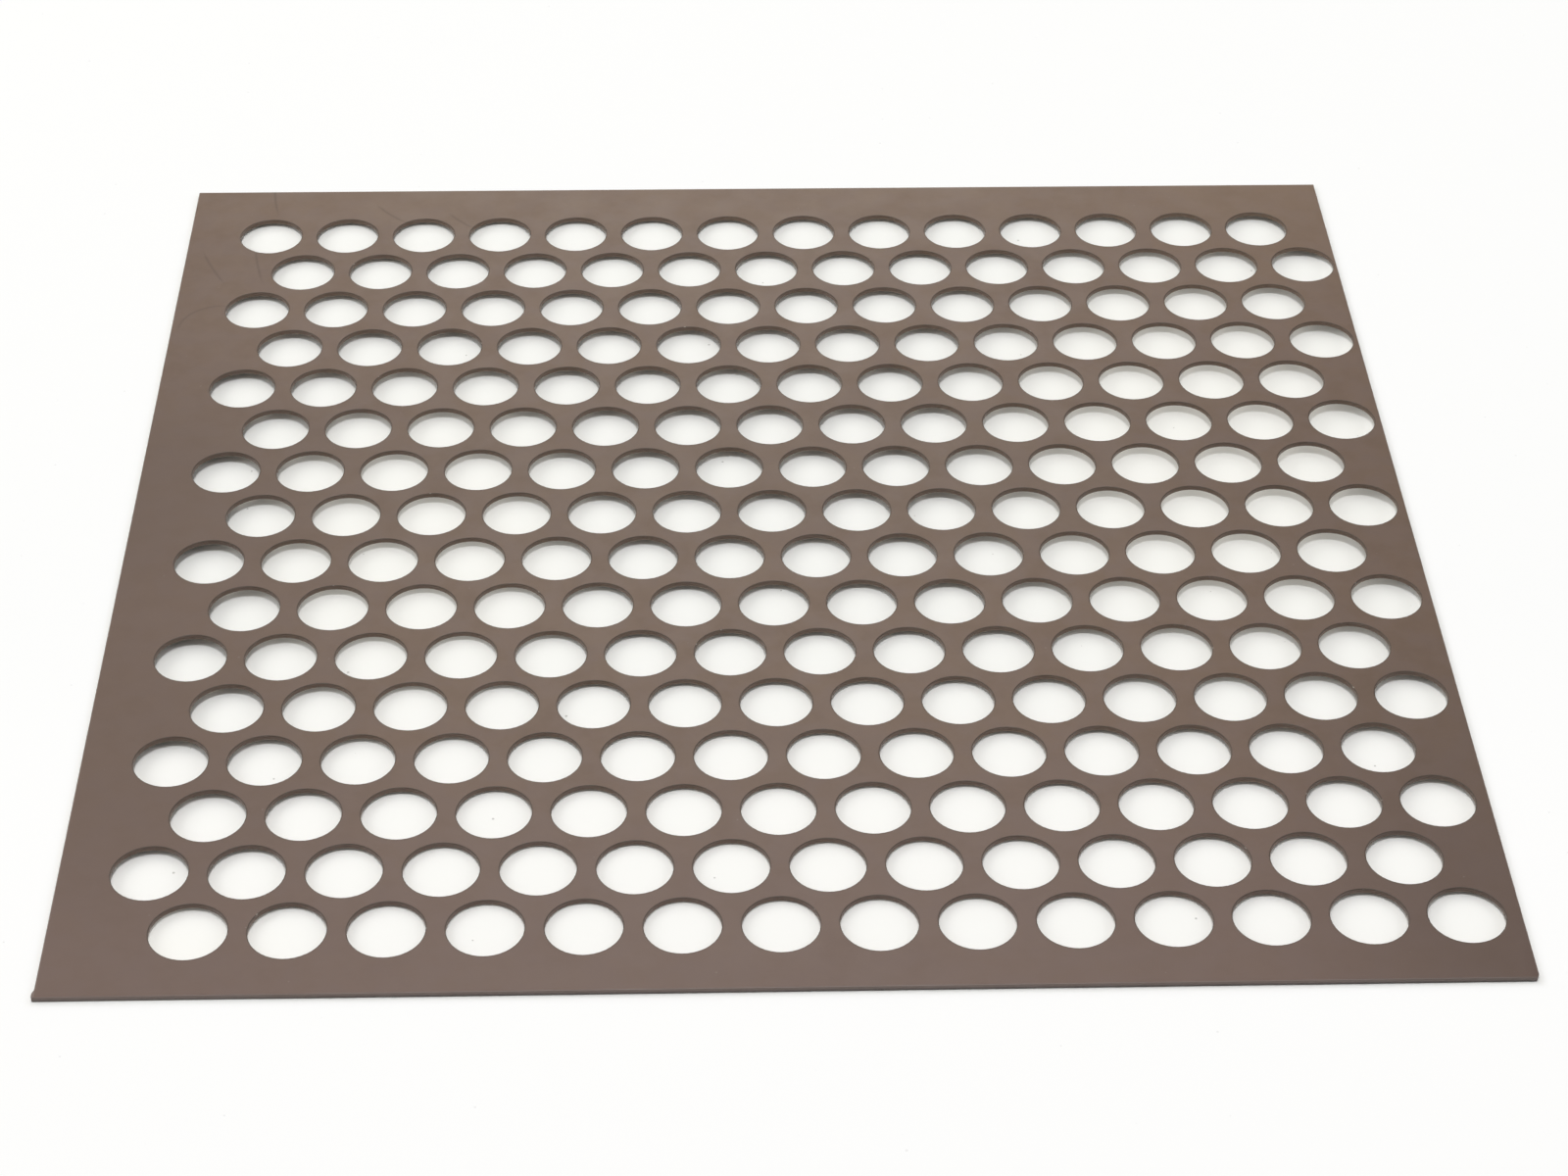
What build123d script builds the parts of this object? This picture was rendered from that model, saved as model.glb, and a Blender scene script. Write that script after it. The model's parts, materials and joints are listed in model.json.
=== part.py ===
"""Perforated metal sheet: one flat, coated plate with round holes punched in staggered rows.

The sheet lies flat. +X runs along the rows, +Y away from the near edge and +Z up. The origin is the
middle of the underside. Lengths are in millimetres.
"""

import os
from math import radians, tan

from build123d import *

# Cut sheet
sheet_width = 300.0  # side to side, along X
sheet_length = 300.0  # near edge to far edge, along Y
thickness = 1.2  # plate with its coating
edge_roll = 0.3  # radius that the shears leave along the upper edge of the outline

# Punched pattern: round holes at the corners of equal triangles
hole_diameter = 16.0
pitch = 20.0  # centre to centre along a row
stagger_angle = 60.0  # between a row and the line to the nearest hole of the next row, in degrees

# Where the pattern falls on the cut sheet, which was trimmed a little out of line with it
left_border = 21.3  # left side to the centre of the far row's first hole
far_border = 22.1  # far edge to the centres of the far row
row_drift = 0.18  # sideways creep of each row towards the left side, counted from the far row
least_strip = 0.3  # least metal between a hole and the outline: a hole with less isn't punched

# Worked out from the values above
row_spacing = pitch / 2 * tan(radians(stagger_angle))
row_shift = pitch / 2
room_in_row = sheet_width - left_border - row_shift - hole_diameter / 2 - least_strip
room_for_rows = sheet_length - far_border - hole_diameter / 2 - least_strip
holes_per_row = int(room_in_row / pitch) + 1
rows = int(room_for_rows / row_spacing) + 1


def row_of_holes(row):
    """Centres of one row's holes, from left to right. Row 0 is the far one."""
    first_x = left_border - sheet_width / 2 + row % 2 * row_shift - row * row_drift
    centre_y = sheet_length / 2 - far_border - row * row_spacing
    return [(first_x + hole * pitch, centre_y) for hole in range(holes_per_row)]


hole_centres = [centre for row in range(rows) for centre in row_of_holes(row)]

with BuildPart() as sheet:
    # The blank comes first, so that its outline is rolled before any hole is near it.
    with BuildSketch():
        Rectangle(sheet_width, sheet_length)
    extrude(amount=thickness)
    upper_edges = sheet.faces().sort_by(Axis.Z)[-1].edges()
    fillet(upper_edges, radius=edge_roll)

    # All the holes are punched at once, from the upper face through the plate.
    with BuildSketch(Plane.XY.offset(thickness)):
        with Locations(*hole_centres):
            Circle(hole_diameter / 2)
    extrude(amount=-thickness, mode=Mode.SUBTRACT)

sheet.part.label = "sheet"

os.makedirs("parts", exist_ok=True)
export_step(sheet.part, "parts/sheet.step")

solid_blank = sheet_width * sheet_length * thickness
print(f"{rows} rows of {holes_per_row} holes, {1 - sheet.part.volume / solid_blank:.1%} open")
print(f"volume {sheet.part.volume:.0f} mm3, valid {sheet.part.is_valid}")
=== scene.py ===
# %% [markdown]
# # A punched and powder-coated metal sheet
#
# The real sheet starts as flat metal. A punch press knocks round holes through it in staggered
# rows, shears cut it to a square, and a powder coat is sprayed on and baked. So this lesson works
# in the same order: one hole, then the whole pattern, then the plain border and the cut edge, and
# last the coating. All lengths are in metres.

# %% The frame
import json
from math import cos, exp, hypot, pi, radians, sin, sqrt

import bmesh
import bpy
from mathutils import Matrix, Vector


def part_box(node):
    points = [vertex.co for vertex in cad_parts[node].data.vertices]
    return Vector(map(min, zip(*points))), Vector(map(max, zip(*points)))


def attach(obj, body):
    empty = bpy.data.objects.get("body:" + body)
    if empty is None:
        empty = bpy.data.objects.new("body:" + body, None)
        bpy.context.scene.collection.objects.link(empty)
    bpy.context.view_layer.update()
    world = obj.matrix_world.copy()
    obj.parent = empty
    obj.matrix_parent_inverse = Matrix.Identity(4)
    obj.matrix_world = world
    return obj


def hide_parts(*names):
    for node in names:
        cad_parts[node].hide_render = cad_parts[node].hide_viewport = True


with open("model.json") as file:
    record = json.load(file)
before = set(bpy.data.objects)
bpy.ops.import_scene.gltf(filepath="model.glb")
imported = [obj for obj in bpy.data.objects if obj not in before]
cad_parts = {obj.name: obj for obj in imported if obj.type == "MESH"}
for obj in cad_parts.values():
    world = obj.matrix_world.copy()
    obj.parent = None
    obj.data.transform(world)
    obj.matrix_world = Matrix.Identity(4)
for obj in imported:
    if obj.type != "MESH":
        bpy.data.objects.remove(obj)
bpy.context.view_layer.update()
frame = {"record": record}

mm = 0.001
low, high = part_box("sheet")
print("the sheet is", [round(side / mm, 2) for side in high - low], "mm")

# %% [markdown]
# ## Sizes
#
# The pattern is already fixed by the frame: some of its holes are named there, with their centres
# and their radius. Measuring between named holes gives the pitch, the spacing of the rows and
# the small creep of each row towards the left, so no size is typed in twice. Only the details that
# the frame leaves out, such as how far the punch rounds the rim, get a value of their own here.

# %% Sizes from the named holes
named_holes = {m["name"]: m for m in frame["record"]["mounts"] if m["kind"] == "bore"}


def centre_of(hole):
    """Centre of a named hole in the sheet's upper face."""
    x, y, _ = named_holes[hole]["pos_m"]
    return Vector((x, y, high.z))


rows, holes_per_row = 16, 14
rows_to_middle, holes_to_middle = 8, 7  # from the first hole to the two named middle ones
first_hole = centre_of("hole_far_left")
hole_radius = named_holes["hole_far_left"]["dims"]["r_mm"] * mm
pitch = (centre_of("hole_far_middle").x - first_hole.x) / holes_to_middle
row_spacing = (first_hole.y - centre_of("hole_near_left").y) / (rows - 1)
creep = (first_hole.x - centre_of("hole_left_middle").x) / rows_to_middle
half_side = high.x
thickness = high.z - low.z
print(f"pitch {pitch / mm:.2f}, row spacing {row_spacing / mm:.3f}, creep {creep / mm:.3f} mm")

# %% Sizes that the finish adds
rim_roll = 0.14 * mm  # the punch pulls the upper rim of each hole down into a small round
edge_roll = 0.3 * mm  # the shears do the same along the outline
tear_flare = 0.05 * mm  # a hole is a little wider where the slug tore off, low in the wall
burr_break = 0.06 * mm  # the coating rounds the lower edges
flat_band = 0.16 * mm  # narrow flat ring around each rim, which keeps the shading of the roll crisp
tiny = 0.002 * mm  # points closer than this count as one
print(f"rolled rims {rim_roll / mm:.2f} mm, rolled outline {edge_roll / mm:.2f} mm")

# %% [markdown]
# ## Helpers
#
# An operator works on whatever is selected, so each step first selects nothing and then picks its
# vertices by where they are. These small helpers do the picking, and give extruding a new ring
# one short name.

# %% Choosing a piece and its mode


def pick(piece):
    """In object mode, selects that piece alone and makes it the active one."""
    bpy.ops.object.select_all(action="DESELECT")
    piece.select_set(True)
    bpy.context.view_layer.objects.active = piece


def start_editing(piece):
    pick(piece)
    bpy.ops.object.mode_set(mode="EDIT")
    bpy.ops.mesh.select_mode(type="VERT")


def stop_editing():
    bpy.ops.object.mode_set(mode="OBJECT")


# %% Selecting by place


def select_where(piece, test):
    """In edit mode, selects the vertices that pass the test and whatever lies between them."""
    shape = bmesh.from_edit_mesh(piece.data)
    bpy.ops.mesh.select_all(action="DESELECT")
    chosen = [v for v in shape.verts if test(v.co)]
    for vertex in chosen:
        vertex.select = True
    shape.select_flush(True)
    bmesh.update_edit_mesh(piece.data)
    return len(chosen)


def selected_places(piece):
    """In edit mode, the places of the selected vertices."""
    return [v.co.copy() for v in bmesh.from_edit_mesh(piece.data).verts if v.select]


def select_open_edge():
    """In edit mode, selects the edges with a face on one side only, where the skin is open."""
    bpy.ops.mesh.select_mode(type="EDGE")
    bpy.ops.mesh.select_all(action="DESELECT")
    bpy.ops.mesh.select_non_manifold(
        extend=False, use_wire=False, use_boundary=True,
        use_multi_face=False, use_non_contiguous=False, use_verts=False,
    )


def next_ring(centre, grow=1.0, drop=0.0):
    """Extrudes the selected loop into a new one, lowered by drop and grown about the centre."""
    bpy.ops.mesh.extrude_region_move(TRANSFORM_OT_translate={"value": (0, 0, -drop)})
    bpy.ops.transform.resize(value=(grow, grow, 1), center_override=centre)


# %% [markdown]
# ## One hole in its own tile
#
# Every hole of a staggered pattern sits in the middle of a six-sided tile, and the tiles fill the
# sheet like honeycomb. Modelling one tile well and repeating it is far less work than cutting holes
# with booleans, and it leaves clean rings of faces around each hole. The tile's corners lean
# sideways a little, because each row has crept to the left of the row behind it.

# %% The tile's outline
points_per_side = 7
tile_reach = pitch / sqrt(3)
bpy.ops.object.select_all(action="DESELECT")
bpy.ops.mesh.primitive_circle_add(vertices=6, radius=tile_reach, location=first_hole)
sheet = bpy.context.object
sheet.name = sheet.data.name = "perforated_sheet"
bpy.ops.object.transform_apply(location=True, rotation=False, scale=False)

start_editing(sheet)
for corner_height in (-tile_reach, -tile_reach / 2, tile_reach / 2, tile_reach):
    select_where(sheet, lambda p: abs(p.y - first_hole.y - corner_height) < tiny)
    bpy.ops.transform.translate(value=(creep * corner_height / row_spacing, 0, 0))
bpy.ops.mesh.select_all(action="SELECT")
bpy.ops.mesh.subdivide(number_cuts=points_per_side - 1)
bpy.ops.mesh.select_all(action="SELECT")
outline_points = selected_places(sheet)
print("the tile's outline has", len(outline_points), "points")

# %% [markdown]
# ## The rim, the wall and the underside
#
# A punched hole isn't a plain cylinder. The punch first drags the surface down, which rounds the
# rim. Then it shears a smooth band, and low in the wall the slug tears away and leaves the hole a
# touch wider. A curve could be spun into that section, but extruding one ring after another from
# the top down follows it just as exactly and stays joined to the tile. The underside is a copy of
# the tile's outline, bridged to the last ring.

# %% The first ring becomes round
bpy.ops.mesh.extrude_region_move()
bpy.ops.transform.tosphere(value=1.0)
ring = selected_places(sheet)
ring_radius = sum(hypot(p.x - first_hole.x, p.y - first_hole.y) for p in ring) / len(ring)
rim_radius = hole_radius + rim_roll
grow = (rim_radius + flat_band) / ring_radius
bpy.ops.transform.resize(value=(grow, grow, 1), center_override=first_hole)
print(f"the flat face ends {(rim_radius + flat_band) / mm:.2f} mm from the hole's centre")

# %% Rings from the rim to the underside
roll_steps = 3
smooth_share = 0.6  # of the wall, from the top, that the punch shears smooth
quarter_turns = [pi / 2 * step / roll_steps for step in range(1, roll_steps + 1)]

section = [(rim_radius, 0.0)]
for turn in quarter_turns:
    section.append((hole_radius + rim_roll * (1 - sin(turn)), rim_roll * (1 - cos(turn))))
section.append((hole_radius, thickness * smooth_share))
section.append((hole_radius + tear_flare, thickness - burr_break))
section.append((hole_radius + tear_flare + burr_break, thickness))
radius, depth = rim_radius + flat_band, 0.0
for next_radius, next_depth in section:
    next_ring(first_hole, grow=next_radius / radius, drop=next_depth - depth)
    radius, depth = next_radius, next_depth

select_where(sheet, lambda p: any((p - q).length < tiny for q in outline_points))
bpy.ops.mesh.duplicate_move(TRANSFORM_OT_translate={"value": (0, 0, -thickness)})
select_where(sheet, lambda p: p.z < low.z + tiny)
bpy.ops.mesh.bridge_edge_loops()
stop_editing()
print("one tile:", len(sheet.data.vertices), "vertices,", len(sheet.data.polygons), "faces")

# %% [markdown]
# ## Repeating the tile
#
# An Array modifier makes one row. A second row is a copy moved half a pitch across and one row
# spacing nearer, and a last Array repeats that pair. Neighbouring tiles share their outlines, so
# merging by distance turns them into one skin with no seams.

# %% A row, a pair of rows, and the field


def repeat(piece, count, offset):
    """Repeats the piece's mesh with an Array modifier, which is then applied."""
    array = piece.modifiers.new("repeat", "ARRAY")
    array.count = count
    array.use_relative_offset = False
    array.use_constant_offset = True
    array.constant_offset_displace = offset
    bpy.ops.object.modifier_apply(modifier=array.name)


pick(sheet)
repeat(sheet, holes_per_row, (pitch, 0, 0))

bpy.ops.object.duplicate()
bpy.ops.transform.translate(value=(pitch / 2 - creep, -row_spacing, 0))
sheet.select_set(True)
bpy.context.view_layer.objects.active = sheet
bpy.ops.object.join()
repeat(sheet, rows // 2, (-2 * creep, -2 * row_spacing, 0))

start_editing(sheet)
bpy.ops.mesh.select_all(action="SELECT")
bpy.ops.mesh.remove_doubles(threshold=tiny)
stop_editing()
print("the field of holes:", len(sheet.data.vertices), "vertices")

# %% [markdown]
# ## The plain border
#
# The field now ends in a zigzag. Its edge is extruded once and flattened against a line beyond each
# side, the way S, X, 0 does by hand. The points of the zigzag are kept by number, and their first
# places say which side each of them belongs to, because they move while the sides are made.

# %% Out past the outline
overhang = 5 * mm
far_line = first_hole.y + tile_reach / 2
near_line = first_hole.y - (rows - 1) * row_spacing - tile_reach / 2
left_line = first_hole.x + pitch / 4
right_line = centre_of("hole_far_right").x

start_editing(sheet)
select_open_edge()
bpy.ops.mesh.extrude_region_move()
bpy.ops.mesh.select_mode(type="VERT")
field_edge = bmesh.from_edit_mesh(sheet.data)
field_edge.verts.ensure_lookup_table()
edge_group = [v.index for v in field_edge.verts if v.select]
first_places = {index: field_edge.verts[index].co.copy() for index in edge_group}
print("the zigzag has", len(edge_group), "points")

# %% Each side flattened


def flatten(side, stretch, place):
    """Of the extruded zigzag, moves the points of one side onto a line at that place."""
    shape = bmesh.from_edit_mesh(sheet.data)
    shape.verts.ensure_lookup_table()
    bpy.ops.mesh.select_all(action="DESELECT")
    for index in edge_group:
        if side(first_places[index]):
            shape.verts[index].select = True
    shape.select_flush(True)
    bmesh.update_edit_mesh(sheet.data)
    bpy.ops.transform.resize(value=stretch, center_override=place)


def between_rows(p):
    return near_line - tiny < p.y < far_line + tiny


out = half_side + overhang
flatten(lambda p: p.y > far_line - tiny, (1, 0, 1), (0, out, 0))
flatten(lambda p: p.y < near_line + tiny, (1, 0, 1), (0, -out, 0))
flatten(lambda p: between_rows(p) and p.x < left_line, (0, 1, 1), (-out, 0, 0))
flatten(lambda p: between_rows(p) and p.x > right_line, (0, 1, 1), (out, 0, 0))
print(f"the border now reaches {out / mm:.0f} mm from the middle")

# %% [markdown]
# ### The shears
#
# A bisect along each side trims the upper face and the underside together, straight through the
# tiles that stick out on the right. It stops short of the outline by the roll, which comes next.
# The near right corner lost a sliver, twice as long up the right side as along the near edge, so a
# slanting bisect takes it off.

# %% Trimming the border
roll_start = half_side - edge_roll
clip_length = 1.2 * mm  # of the sliver, up the right side


def trim(place, outwards):
    """Cuts along a plane and throws away what is outside it."""
    bpy.ops.mesh.select_all(action="SELECT")
    bpy.ops.mesh.bisect(plane_co=place, plane_no=outwards, clear_outer=True, threshold=tiny)


for side in (Vector((1, 0, 0)), Vector((-1, 0, 0)), Vector((0, 1, 0)), Vector((0, -1, 0))):
    # A cut just inside the trim keeps the shading of the rolled edge off the flat border.
    bpy.ops.mesh.select_all(action="SELECT")
    bpy.ops.mesh.bisect(plane_co=side * (roll_start - flat_band), plane_no=side, threshold=tiny)
    trim(side * roll_start, side)
trim((roll_start, clip_length - roll_start, 0), Vector((2, -1, 0)).normalized())
stop_editing()
print("trimmed:", len(sheet.data.vertices), "vertices")

# %% [markdown]
# ## The cut edge
#
# The shears round the upper edge of the outline and leave the lower one sharp, apart from what the
# coating softens. The upper boundary is extruded down that section, ring by ring. The sheet is
# square and centred, so growing a ring about the middle moves all four sides outwards alike. The
# last ring meets the underside, where merging closes the skin.

# %% Rings down the cut edge
burnish = 0.55  # share of the edge that the blades smooth before the metal tears
tear_back = 0.05 * mm

start_editing(sheet)
select_open_edge()
shape = bmesh.from_edit_mesh(sheet.data)
for edge in shape.edges:
    if edge.select and edge.verts[0].co.z < high.z - tiny:
        edge.select = False
shape.select_flush_mode()
bmesh.update_edit_mesh(sheet.data)

edge_section = []
for turn in quarter_turns:
    edge_section.append((half_side - edge_roll * (1 - sin(turn)), edge_roll * (1 - cos(turn))))
edge_section.append((half_side, thickness * burnish))
edge_section.append((half_side - tear_back, thickness - burr_break))
edge_section.append((half_side - tear_back - burr_break, thickness))
edge_section.append((roll_start, thickness))
reach, depth = roll_start, 0.0
for next_reach, next_depth in edge_section:
    next_ring((0, 0, 0), grow=next_reach / reach, drop=next_depth - depth)
    reach, depth = next_reach, next_depth
bpy.ops.mesh.select_mode(type="VERT")
bpy.ops.mesh.select_all(action="SELECT")
bpy.ops.mesh.remove_doubles(threshold=tiny)
bpy.ops.mesh.select_all(action="SELECT")
bpy.ops.mesh.normals_make_consistent(inside=False)
stop_editing()
print("with its cut edge:", len(sheet.data.vertices), "vertices")

# %% [markdown]
# ## The bent corner
#
# At the near left corner the shears left a small burr: the outline swells a little just before it
# turns. A few extra cuts across that corner give it points to bend, and a move with a soft falloff
# pulls them out together, as proportional editing does by hand.

# %% The near left corner
burr_out = 0.4 * mm
burr_reach = 1.1 * mm  # of the soft falloff
burr_start, burr_end = 0.5 * mm, 1.5 * mm  # from the near edge
burr_cuts = (3.0 * mm, 2.3 * mm, 1.8 * mm, 1.4 * mm, 1.0 * mm, 0.6 * mm)
corner_hole = centre_of("hole_near_left")


def in_corner(p):
    return p.x < corner_hole.x - pitch / 2 + tiny and p.y < corner_hole.y


def on_burr(p):
    return p.x < -roll_start - tiny and low.y + burr_start < p.y < low.y + burr_end


start_editing(sheet)
for inwards in burr_cuts:
    select_where(sheet, in_corner)
    bpy.ops.mesh.bisect(plane_co=(0, low.y + inwards, 0), plane_no=(0, 1, 0), threshold=tiny)
count = select_where(sheet, on_burr)
bpy.ops.transform.translate(
    value=(-burr_out, 0, 0), use_proportional_edit=True,
    proportional_edit_falloff="SMOOTH", proportional_size=burr_reach,
)
stop_editing()
print("the burr pulls", count, "points and their neighbours")

# %% [markdown]
# ## A closed skin
#
# A real sheet encloses its metal, so the skin should have no open edge. Counting the edges that
# lack a second face, and measuring the volume inside, shows at once if a cut or a merge went wrong.

# %% Open edges and volume
skin = bmesh.new()
skin.from_mesh(sheet.data)
open_edges = sum(1 for edge in skin.edges if not edge.is_manifold)
volume = skin.calc_volume()
skin.free()
triangles = sum(len(face.vertices) - 2 for face in sheet.data.polygons)
print(f"closed sheet: {triangles} triangles, {open_edges} open edges, {volume / mm ** 3:.0f} mm3")

# %% [markdown]
# ## Shading and a mark for the rims
#
# Smooth shading up to fifty degrees lets the rolled rims and the broken lower edges shade as rounds,
# and leaves only the corners of the outline sharp. The material paints the rims darker than the
# face, a painted shade, and puts its chips and painted glints on them. So each point of the rims
# gets the value 1 in an attribute, which the material reads. To find them, each point is matched
# with the nearest hole of its row.

# %% Smooth shading
pick(sheet)
bpy.ops.object.shade_smooth_by_angle(angle=radians(50))
print("sharp edges:", sum(1 for edge in sheet.data.edges if edge.use_edge_sharp))

# %% The rim attribute
start_editing(sheet)
skin = bmesh.from_edit_mesh(sheet.data)
ring_reach = rim_radius + tiny
rim_mark = skin.verts.layers.float.new("rim")
for vertex in skin.verts:
    row = round((first_hole.y - vertex.co.y) / row_spacing)
    shift = row % 2 * pitch / 2 - row * creep
    column = round((vertex.co.x - first_hole.x - shift) / pitch)
    middle_x = first_hole.x + shift + column * pitch
    middle_y = first_hole.y - row * row_spacing
    in_field = 0 <= row < rows and 0 <= column < holes_per_row
    on_ring = in_field and hypot(vertex.co.x - middle_x, vertex.co.y - middle_y) < ring_reach
    if on_ring and vertex.co.z > high.z - rim_roll + tiny:
        vertex[rim_mark] = 1.0
print("rim points:", sum(1 for vertex in skin.verts if vertex[rim_mark] > 0.5))
bmesh.update_edit_mesh(sheet.data)
stop_editing()

# %% [markdown]
# ## The powder coat
#
# A powder coat is a layer of baked plastic: satin, brown, with the very fine ripple called orange
# peel. It could be one colour with a bump, but no real coat is that even. So the material lays faint
# differences over each other, some of them the coat's own and some of them painted light and shade.
# Each of them is a mask, made from the Object coordinates or from the rim attribute, and a colour
# that shows where the mask is 1. The helpers here each stand for one node, so that a mask reads like
# a sum.

# %% Adding a node


def add_node(tree, kind, inputs=None, **settings):
    """Adds a node, sets what it does, and fills its inputs with values or with other sockets."""
    made = tree.nodes.new(kind)
    for name, value in settings.items():
        setattr(made, name, value)
    for name, value in (inputs or {}).items():
        if isinstance(value, bpy.types.NodeSocket):
            tree.links.new(value, made.inputs[name])
        else:
            made.inputs[name].default_value = value
    return made


# %% Arithmetic with masks and places


def calculate(tree, operation, a, b=0.0):
    """A Math node's result."""
    return add_node(tree, "ShaderNodeMath", {0: a, 1: b}, operation=operation).outputs[0]


def vector_math(tree, operation, a, b=(0, 0, 0)):
    """A Vector Math node, whose result is a vector or, for a distance or a length, a value."""
    made = add_node(tree, "ShaderNodeVectorMath", {0: a, 1: b}, operation=operation)
    return made.outputs["Value" if operation in ("DISTANCE", "LENGTH") else "Vector"]


def off_middle(tree, place):
    """How far a place is from the middle of the sheet, to its side or to its front or back."""
    sideways = calculate(tree, "ABSOLUTE", place["X"])
    lengthways = calculate(tree, "ABSOLUTE", place["Y"])
    return calculate(tree, "MAXIMUM", sideways, lengthways)


# %% Fading and tinting


def fade(tree, value, start, end, low_end=0.0, high_end=1.0):
    """Turns a value between start and end into a smooth step."""
    made = add_node(
        tree, "ShaderNodeMapRange",
        {"Value": value, "From Min": start, "From Max": end, "To Min": low_end, "To Max": high_end},
        interpolation_type="SMOOTHSTEP",
    )
    return made.outputs["Result"]


def tint(tree, amount, under, over):
    """Mixes two colours by a mask."""
    made = add_node(
        tree, "ShaderNodeMix", {"Factor": amount, 6: under, 7: over}, data_type="RGBA",
    )
    return made.outputs[2]


# %% [markdown]
# ### Effects in groups
#
# An effect that comes back, such as a scuff or a speck, goes into a node group with named inputs
# and outputs. It is built once, and every place that needs it gets a copy with its own values.

# %% A new group


def new_group(name, inputs, outputs):
    """A shader node group with named float or vector inputs and float outputs."""
    group = bpy.data.node_groups.new(name, "ShaderNodeTree")
    for label, socket_type in inputs:
        group.interface.new_socket(label, in_out="INPUT", socket_type=socket_type)
    for label in outputs:
        group.interface.new_socket(label, in_out="OUTPUT", socket_type="NodeSocketFloat")
    given = group.nodes.new("NodeGroupInput").outputs
    result = group.nodes.new("NodeGroupOutput").inputs
    return group, given, result


# %% [markdown]
# ### A scuff
#
# Something dragged over the coating leaves a thin curved streak. Such a streak is part of a circle:
# the points whose distance from the circle's centre is about its radius, kept only near the middle
# of the streak. So a scuff is two distances, each turned into a smooth step.

# %% The scuff group
scuff_group, given, result = new_group(
    "scuff",
    [
        ("Position", "NodeSocketVector"), ("Centre", "NodeSocketVector"),
        ("Middle", "NodeSocketVector"), ("Radius", "NodeSocketFloat"),
        ("Width", "NodeSocketFloat"), ("Reach", "NodeSocketFloat"),
    ],
    ["Mask"],
)
to_centre = vector_math(scuff_group, "DISTANCE", given["Position"], given["Centre"])
to_middle = vector_math(scuff_group, "DISTANCE", given["Position"], given["Middle"])
off_line = calculate(scuff_group, "SUBTRACT", to_centre, given["Radius"])
off_line = calculate(scuff_group, "ABSOLUTE", off_line)
off_line = calculate(scuff_group, "DIVIDE", off_line, given["Width"])
along_line = calculate(scuff_group, "DIVIDE", to_middle, given["Reach"])
streak = calculate(
    scuff_group, "MULTIPLY",
    fade(scuff_group, off_line, 1.0, 0.0), fade(scuff_group, along_line, 1.0, 0.4),
)
scuff_group.links.new(streak, result["Mask"])
print("the scuff group has", len(scuff_group.nodes), "nodes")

# %% [markdown]
# ### Specks
#
# Dust lies on the sheet and on the paper under it. Voronoi cells, each with its own random colour,
# give one possible speck to a cell, and the random value decides which cells really hold one.
# Scattering real grains would cost many faces for something this small.

# %% The speck group
speck_group, given, result = new_group(
    "specks",
    [
        ("Position", "NodeSocketVector"), ("Spacing", "NodeSocketFloat"),
        ("Size", "NodeSocketFloat"), ("Share", "NodeSocketFloat"),
    ],
    ["Mask"],
)
cells = add_node(
    speck_group, "ShaderNodeTexVoronoi",
    {"Vector": given["Position"], "Scale": calculate(speck_group, "DIVIDE", 1.0, given["Spacing"])},
    voronoi_dimensions="2D",
).outputs
chance = add_node(speck_group, "ShaderNodeSeparateColor", {"Color": cells["Color"]}).outputs
from_speck = calculate(speck_group, "MULTIPLY", cells["Distance"], given["Spacing"])
own_size = calculate(speck_group, "MULTIPLY", given["Size"], chance["Green"])
in_sizes = calculate(speck_group, "DIVIDE", from_speck, own_size)
held = calculate(speck_group, "LESS_THAN", chance["Red"], given["Share"])
speck = calculate(speck_group, "MULTIPLY", fade(speck_group, in_sizes, 1.0, 0.5), held)
speck_group.links.new(speck, result["Mask"])
print("the speck group has", len(speck_group.nodes), "nodes")

# %% [markdown]
# ### Browns that drift into each other
#
# Seen close, the brown is several browns: slow stains the length of a thumb, finer ones, and a
# mottle of a few millimetres. Each is a soft noise that mixes in a brown only a little lighter,
# darker or more mauve than the others, so that no stain stands out.

# %% Where a point of the coat is
coat = bpy.data.materials.new("powder_coat")
coat.use_nodes = True
coat_tree = coat.node_tree
coat_shader = coat_tree.nodes["Principled BSDF"]
coat_place = add_node(coat_tree, "ShaderNodeTexCoord").outputs["Object"]
coat_at = add_node(coat_tree, "ShaderNodeSeparateXYZ", {"Vector": coat_place}).outputs
rim = add_node(coat_tree, "ShaderNodeAttribute", attribute_name="rim").outputs["Fac"]
height = coat_at["Z"]
upper_face = calculate(coat_tree, "GREATER_THAN", height, high.z - edge_roll)


def noise(feature, detail=2.0):
    """Soft noise whose features are about that long."""
    made = add_node(
        coat_tree, "ShaderNodeTexNoise",
        {"Vector": coat_place, "Scale": 1 / feature, "Detail": detail},
    )
    return made.outputs["Fac"]


def times(a, b):
    """The product of two masks of the coat, or of a mask and a share."""
    return calculate(coat_tree, "MULTIPLY", a, b)


# %% The browns
brown = (0.1445, 0.091, 0.062, 1)
brown_deep = (0.133, 0.0835, 0.058, 1)
brown_mauve = (0.146, 0.098, 0.081, 1)
brown_pale = (0.160, 0.103, 0.075, 1)

stains = fade(coat_tree, noise(28 * mm, 3.0), 0.3, 0.7)
colour = tint(coat_tree, stains, brown_deep, brown)
fine_stains = fade(coat_tree, noise(7 * mm, 4.0), 0.38, 0.62, 0.0, 0.6)
colour = tint(coat_tree, fine_stains, colour, brown_mauve)
mottle = fade(coat_tree, noise(3 * mm, 3.0), 0.35, 0.65, 0.0, 0.35)
colour = tint(coat_tree, mottle, colour, brown_pale)
print("the coat starts with", len(coat_tree.nodes), "nodes")

# %% [markdown]
# ### Broad patches
#
# The coat is given broad patches by place: mauve along its near side, darker along its left side, at
# its near right corner and in a band across its middle, and warm and pale at the back. The darker
# patches are partly painted shade and partly the coat's own uneven tone, and the pale back is a
# painted sheen. Each patch fades in or out along X or Y over several centimetres, so a smooth step
# on one axis, times another one, is all it takes.

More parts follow.
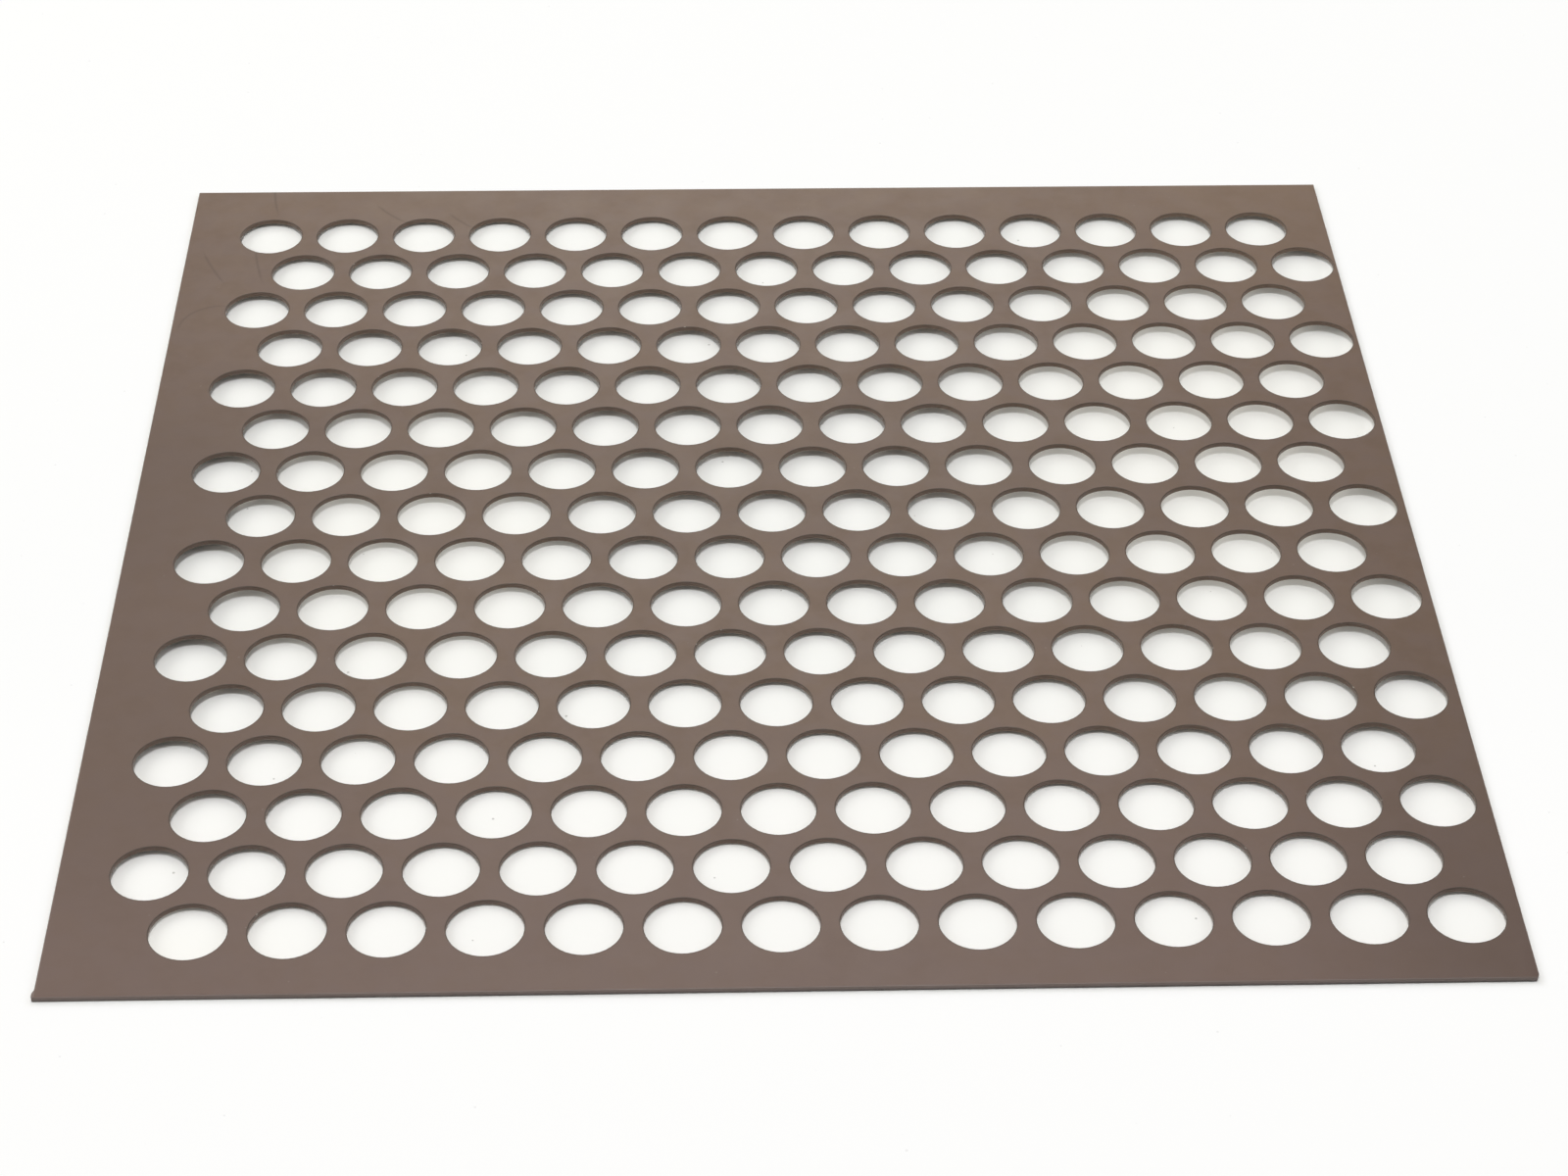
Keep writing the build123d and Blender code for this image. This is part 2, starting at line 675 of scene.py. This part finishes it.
# %% Patches along the sides
near_mauve = (0.154, 0.102, 0.092, 1)
left_dark = (0.115, 0.073, 0.058, 1)
shade_and_tone_brown = (0.060, 0.040, 0.030, 1)
sheen_pale = (0.25, 0.165, 0.10, 1)


def patch(over, share, *fades):
    """Lays a colour over the coat where the fades allow: an axis, and from and to in mm."""
    for axis, start, end in fades:
        share = times(fade(coat_tree, coat_at[axis], start * mm, end * mm), share)
    return tint(coat_tree, share, colour, over)


# Partly painted shade, partly the coat's own uneven tone, laid on by place.
colour = patch(near_mauve, 0.5, ("Y", -50, -140))
colour = patch(left_dark, 0.5, ("X", -70, -145), ("Y", 100, 20), ("Y", -150, -90))
colour = patch(shade_and_tone_brown, 0.36, ("X", 90, 145), ("Y", 40, -150))
colour = patch(shade_and_tone_brown, 0.12, ("Y", 80, 30), ("Y", -30, 10))
# Painted sheen: the coat is paler and warmer towards the back.
colour = patch(sheen_pale, 0.10, ("Y", 120, 145))
colour = patch(sheen_pale, 0.15, ("X", 70, 140), ("Y", 70, 120))
print("with its patches it has", len(coat_tree.nodes), "nodes")

# %% [markdown]
# ### Walls and cut edge
#
# Inside the holes the walls get a painted shade, darker and warmer, and a pale painted reflection
# along the lower lip, where paper shines back at it. Along the outline the cut edge gets a grey
# painted sheen, and a painted shade on its lower half, where it meets the paper. The height of a
# point tells the wall from the upper face, and its distance from the middle tells the outline from
# the holes.

# %% Walls, lower lip and cut edge: painted shade, reflection and sheen
wall_shade_brown = (0.10, 0.055, 0.018, 1)
lip_pale = (0.32, 0.26, 0.20, 1)
edge_sheen_grey = (0.29, 0.26, 0.245, 1)
edge_shade_dark = (0.05, 0.043, 0.04, 1)

from_middle = off_middle(coat_tree, coat_at)
on_edge = fade(coat_tree, from_middle, roll_start, roll_start + 0.1 * mm)
in_holes = calculate(coat_tree, "SUBTRACT", 1.0, on_edge)
# Painted shade on the walls of the holes.
wall_shade = times(fade(coat_tree, height, high.z - 0.12 * mm, high.z - 0.2 * mm), in_holes)
colour = tint(coat_tree, times(wall_shade, 0.25), colour, wall_shade_brown)
# Painted reflection of the paper along the lower lip.
lip = times(fade(coat_tree, height, 0.3 * mm, 0.15 * mm), in_holes)
colour = tint(coat_tree, times(lip, 0.35), colour, lip_pale)
# Painted sheen: the cut edge is paler and greyer.
colour = tint(coat_tree, times(on_edge, 0.28), colour, edge_sheen_grey)
# Painted shade on the lower half of the cut edge, where it meets the paper.
shaded_low_edge = times(on_edge, fade(coat_tree, height, 0.7 * mm, 0.4 * mm, 0.0, 0.6))
colour = tint(coat_tree, shaded_low_edge, colour, edge_shade_dark)
print("with its edges it has", len(coat_tree.nodes), "nodes")

# %% [markdown]
# ### The scuffs
#
# Each scuff is given by its middle, measured from the far left corner, by its heading, by how
# tightly it curves and by its length. The centre of its circle lies to the right of the heading.

# %% Scuffs near the far left corner
scuff_brown = (0.085, 0.058, 0.045, 1)
scuff_width = 0.55 * mm
far_left = Vector((low.x, high.y, high.z))
scuffs = (
    # right of and below the corner, heading in degrees, radius, reach
    ((5.2, -57.4), 42, 10.2, 11),
    ((20.7, -4.0), 98, 60, 9),
    ((7.4, -37.0), 115, 90, 10),
    ((18.5, -33.0), 100, 120, 14),
    ((51.7, -11.7), 133, 40, 7),
    ((70.6, -15.4), 133, 40, 6),
)
scuffed = None
for (right, down), heading, curve, reach in scuffs:
    middle = far_left + Vector((right, down, 0)) * mm
    towards = radians(heading - 90)
    mark = add_node(
        coat_tree, "ShaderNodeGroup",
        {
            "Position": coat_place, "Middle": middle, "Radius": curve * mm, "Reach": reach * mm,
            "Centre": middle + Vector((cos(towards), sin(towards), 0)) * curve * mm,
            "Width": scuff_width,
        },
        node_tree=scuff_group,
    ).outputs["Mask"]
    scuffed = mark if scuffed is None else calculate(coat_tree, "MAXIMUM", scuffed, mark)
scuffed = times(scuffed, upper_face)
colour = tint(coat_tree, times(scuffed, 0.50), colour, scuff_brown)
print(len(scuffs), "scuffs")

# %% [markdown]
# ### Dust, rim shade, chips and glints
#
# A little pale dust lies on the upper face. The rolled rims get a painted shade, darker than the
# face around them. Here and there a rim holds a light grey speck, partly a chip in the coat and
# partly a painted glint. A speck is where a small-scale noise peaks, and the rim attribute keeps the
# specks on the rims.

# %% Small marks
dust_grey = (0.45, 0.42, 0.39, 1)
rim_shade_dark = (0.042, 0.029, 0.020, 1)
chip_and_glint_grey = (0.42, 0.38, 0.34, 1)


def specks(tree, place, spacing, size, share):
    """A copy of the speck group in a material."""
    made = add_node(
        tree, "ShaderNodeGroup",
        {"Position": place, "Spacing": spacing, "Size": size, "Share": share},
        node_tree=speck_group,
    )
    return made.outputs["Mask"]


dust = times(specks(coat_tree, coat_place, 5 * mm, 0.3 * mm, 0.06), upper_face)
colour = tint(coat_tree, times(dust, 0.16), colour, dust_grey)
# Painted shade on the rolled rims.
colour = tint(coat_tree, times(rim, 0.75), colour, rim_shade_dark)
# Light grey specks on the rims: partly chips in the coat, partly painted glints.
chips_and_glints = times(fade(coat_tree, noise(1.6 * mm, 2.0), 0.72, 0.76), rim)
colour = tint(coat_tree, times(chips_and_glints, 0.6), colour, chip_and_glint_grey)
coat_tree.links.new(colour, coat_shader.inputs["Base Color"])
print("the coat's colour has", len(coat_tree.nodes), "nodes")

# %% [markdown]
# ### Gloss and orange peel
#
# The satin varies slowly over the sheet, and it is duller where the coat is scuffed or dusty. The
# ripple is far too fine for geometry, so two soft noises drive a Bump node a hundredth of a
# millimetre deep.

# %% Roughness and ripple
satin = fade(coat_tree, noise(11 * mm, 3.0), 0.25, 0.75, 0.40, 0.48)
satin = calculate(coat_tree, "ADD", satin, times(scuffed, 0.06))
satin = calculate(coat_tree, "ADD", satin, times(dust, 0.2))
coat_tree.links.new(satin, coat_shader.inputs["Roughness"])

peel_depth = 0.012 * mm
peel = calculate(coat_tree, "ADD", noise(0.9 * mm, 1.0), times(noise(0.25 * mm, 2.0), 0.4))
ripple = add_node(
    coat_tree, "ShaderNodeBump", {"Height": peel, "Distance": peel_depth, "Strength": 1.0},
)
coat_tree.links.new(ripple.outputs["Normal"], coat_shader.inputs["Normal"])

sheet.data.materials.clear()
sheet.data.materials.append(coat)
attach(sheet, "root")
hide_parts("sheet")
print("the finished coat has", len(coat_tree.nodes), "nodes")

# %% [markdown]
# ## The floor
#
# The sheet lies on pale backdrop paper on a level floor. Such paper isn't dead flat under a sheet
# this thin, so it has a few shallow dips, little more than two millimetres deep together. Through
# the holes they let a little shaded paper show beyond the far rims. Each dip is a soft bell, and
# moving the points of a fine grid by the sum of the bells is simpler than sculpting them. Under
# the plain borders the paper comes back up, so that the sheet rests on it all round.

# %% The dips
hidden_rise = 13 * mm  # how far in from the left, near and far sides the paper is on its way down
right_rise = 8 * mm  # the same on the right, where the border is narrow
right_start = 3 * mm  # and there it starts a little outside the sheet


def dip(x, y, deep, middle, reach):
    """How far one shallow dip lowers the paper, from its depth, its middle and its reach."""
    return deep * exp(-(((x - middle[0]) / reach[0]) ** 2) - ((y - middle[1]) / reach[1]) ** 2)


def ease(share):
    """A smooth step from 0 to 1."""
    share = min(max(share, 0.0), 1.0)
    return share * share * (3 - 2 * share)


def paper_height(x, y):
    across_dip = dip(x, y, 1.5 * mm, (0, 0.045), (1.0, 0.11))
    left_dip = dip(x, y, 1.2 * mm, (-0.16, -0.06), (0.06, 0.09))
    right_dip = dip(x, y, 0.8 * mm, (0.17, 0.0), (0.10, 0.20))
    inside = ease((x - low.x) / hidden_rise) * ease((y - low.y) / hidden_rise)
    inside *= ease((high.y - y) / hidden_rise) * ease((high.x + right_start - x) / right_rise)
    return -(across_dip + left_dip + right_dip) * inside


print(f"under its middle the sheet stands {-paper_height(0, 0) / mm:.2f} mm off the paper")

# %% Backdrop paper
paper_side = 0.4
paper_squares = 200
floor_grow = 25  # the last ring carries the paper out to a wide floor

bpy.ops.object.select_all(action="DESELECT")
bpy.ops.mesh.primitive_grid_add(
    x_subdivisions=paper_squares, y_subdivisions=paper_squares, size=paper_side,
)
floor = bpy.context.object
floor.name = "backdrop_paper"
for vertex in floor.data.vertices:
    vertex.co.z = paper_height(vertex.co.x, vertex.co.y)
start_editing(floor)
paper_rim = paper_side / 2 - tiny
select_where(floor, lambda p: max(abs(p.x), abs(p.y)) > paper_rim)
next_ring((0, 0, 0), grow=floor_grow)
stop_editing()
bpy.ops.object.shade_smooth()
print("deepest dip:", round(min(v.co.z for v in floor.data.vertices) / mm, 2), "mm")

# %% [markdown]
# ### The paper
#
# Plain matt paper, with the faint cloudiness of its fibres, painted light that makes it whiter
# towards the front, and a few dark grains of grit. The grit is the same speck group as the dust on
# the sheet, with larger and sparser specks.

# %% The paper's material
paper_shades = (0.925, 0.94, 0.925, 1), (0.945, 0.955, 0.945, 1)
paper_lit_white = (0.985, 0.99, 0.98, 1)
grit_dark = (0.25, 0.24, 0.22, 1)

paper = bpy.data.materials.new("backdrop_paper")
paper.use_nodes = True
paper_tree = paper.node_tree
paper_shader = paper_tree.nodes["Principled BSDF"]
paper_shader.inputs["Roughness"].default_value = 0.9
paper_shader.inputs["Specular IOR Level"].default_value = 0.2
paper_place = add_node(paper_tree, "ShaderNodeTexCoord").outputs["Object"]
paper_at = add_node(paper_tree, "ShaderNodeSeparateXYZ", {"Vector": paper_place}).outputs
fibres = add_node(
    paper_tree, "ShaderNodeTexNoise", {"Vector": paper_place, "Scale": 120.0, "Detail": 4.0},
)
paper_colour = tint(paper_tree, fibres.outputs["Fac"], *paper_shades)
# Painted light: the paper is whiter towards the front.
painted_light_near = fade(paper_tree, paper_at["Y"], -0.02, -0.11, 0.0, 0.9)
paper_colour = tint(paper_tree, painted_light_near, paper_colour, paper_lit_white)
grit = specks(paper_tree, paper_place, 16 * mm, 0.4 * mm, 0.3)
grit_share = calculate(paper_tree, "MULTIPLY", grit, 0.5)
paper_colour = tint(paper_tree, grit_share, paper_colour, grit_dark)
paper_tree.links.new(paper_colour, paper_shader.inputs["Base Color"])
print("the paper's colour has", len(paper_tree.nodes), "nodes")

# %% [markdown]
# ### White that only the eye sees
#
# The sheet's sides stand a little off the paper, so light creeps in under them and the shaded paper
# in those holes looks pale grey instead of dark. The same paper outside the sheet is bright enough
# to read as a white studio ground. More light would bleach the sheet too. So both are a share of
# white that only the eye and its mirror images see, a little warm under the sheet and plain outside
# it. It lights nothing, and the shadows still show through it.

# %% Where the white goes
outside_white = 0.7
inside_white = 0.01
soft_spots = (
    # middle, reach, share of white: under the right side, the left side and the near left corner
    ((0.105, 0.035), (0.075, 0.12), 0.36),
    ((-0.083, 0.0), (0.055, 0.09), 0.28),
    ((-0.13, -0.145), (0.05, 0.03), 0.30),
)


def soft_spot(middle, reach, share):
    """A share of white that fades out smoothly around a place on the paper."""
    away = vector_math(paper_tree, "SUBTRACT", paper_place, (*middle, 0))
    away = vector_math(paper_tree, "MULTIPLY", away, (1 / reach[0], 1 / reach[1], 0))
    return fade(paper_tree, vector_math(paper_tree, "LENGTH", away), 1.0, 0.2, 0.0, share)


paper_from_middle = off_middle(paper_tree, paper_at)
white_share = fade(
    paper_tree, paper_from_middle, half_side, half_side + 2 * mm, inside_white, outside_white,
)
for middle, reach, share in soft_spots:
    white_share = calculate(paper_tree, "MAXIMUM", white_share, soft_spot(middle, reach, share))
print(len(soft_spots), "soft spots of white under the sheet")

# %% The white itself
warm_white, plain_white = (1, 0.98, 0.90, 1), (1, 1, 1, 1)
rays = add_node(paper_tree, "ShaderNodeLightPath").outputs
seen = calculate(paper_tree, "MAXIMUM", rays["Is Camera Ray"], rays["Is Glossy Ray"])
seen = calculate(paper_tree, "MAXIMUM", seen, rays["Is Transmission Ray"])
outside = calculate(paper_tree, "GREATER_THAN", paper_from_middle, half_side)
white = add_node(
    paper_tree, "ShaderNodeEmission",
    {"Color": tint(paper_tree, outside, warm_white, plain_white), "Strength": 1.0},
)
mixed = add_node(
    paper_tree, "ShaderNodeMixShader",
    {
        0: calculate(paper_tree, "MULTIPLY", seen, white_share),
        1: paper_shader.outputs["BSDF"], 2: white.outputs["Emission"],
    },
)
paper_tree.links.new(
    mixed.outputs["Shader"], paper_tree.nodes["Material Output"].inputs["Surface"],
)
floor.data.materials.append(paper)
print("the paper has", len(paper_tree.nodes), "nodes")

# %% [markdown]
# ## Light
#
# Perforated metal shows its depth best when the light comes over the sides. A small softbox
# straight above gives the shadows their crisp edge, just below each rim. Panels to the left and the
# right reach across the holes and light the paper under their rims, so the shadow in each hole is
# darkest at its far middle and fades towards both ends. Nothing bright stands in front, so the far
# walls stay dark. Panels behind the sheet give the satin coat a sheen that grows towards the back.

# %% The surroundings
room_light = 0.27
world = bpy.data.worlds.new("studio")
bpy.context.scene.world = world
world.use_nodes = True
background = world.node_tree.nodes["Background"]
background.inputs["Color"].default_value = (1, 0.985, 0.96, 1)
background.inputs["Strength"].default_value = room_light
print("the room's own light has strength", room_light)

# %% Softboxes around the sheet
lamp_reach = 1.8
small_side, panel_side = 0.3, 0.75
warm = (1, 0.955, 0.86)


def softbox(name, turn, rise, side, brightness, colour=(1, 1, 1)):
    """A square softbox aimed at the sheet, by its direction in degrees, side and brightness.

    The turn is counted from the right side towards the back, the rise from the floor.
    """
    turn, rise = radians(turn), radians(rise)
    direction = Vector((cos(rise) * cos(turn), cos(rise) * sin(turn), sin(rise)))
    stand = direction * lamp_reach
    bpy.ops.object.light_add(type="AREA", location=stand)
    lamp = bpy.context.object
    lamp.name = name
    lamp.data.shape = "SQUARE"
    lamp.data.size = side
    lamp.data.energy = brightness * pi * side * side
    lamp.data.color = colour
    lamp.rotation_mode = "QUATERNION"
    lamp.rotation_quaternion = (-stand).to_track_quat("-Z", "Y")
    print(f"{name}: {lamp.data.energy:.1f} W")


softbox("overhead_softbox", 270, 87, small_side, 43)
softbox("right_panel", 0, 30, panel_side, 2.7)
softbox("left_panel", 180, 30, panel_side, 3.4)
softbox("back_left_panel", 135, 30, panel_side, 2.6, warm)
softbox("back_panel", 90, 30, panel_side, 2.15, warm)
softbox("high_back_panel", 90, 60, panel_side, 2.0, warm)

# %% [markdown]
# ## The camera
#
# The camera stands in front of the sheet and looks down on it at about forty degrees, a hair from
# the left and tilted half a degree, as a hand-held one is. Its place follows from where it looks
# and from how far back it stands along that line, which is easier to set than three coordinates.

# %% Camera
look_from, look_down, roll = radians(1.91), radians(38.577), radians(0.586)
aim = Vector((2.1 * mm, -22.6 * mm, high.z))
distance = 0.761
bpy.ops.object.camera_add()
camera = bpy.context.object
camera.name = "camera"
camera.data.lens = 76.4
camera.data.sensor_width = 36.0
camera.data.clip_end = 20.0
back = Vector((-sin(look_from) * cos(look_down), -cos(look_from) * cos(look_down), sin(look_down)))
turned = (-back).to_track_quat("-Z", "Y").to_matrix().to_4x4() @ Matrix.Rotation(roll, 4, "Z")
camera.matrix_world = Matrix.Translation(aim + back * distance) @ turned
bpy.context.scene.camera = camera

scene = bpy.context.scene
scene.view_settings.view_transform = "Standard"
print("the camera stands", [round(side, 3) for side in camera.matrix_world.translation])
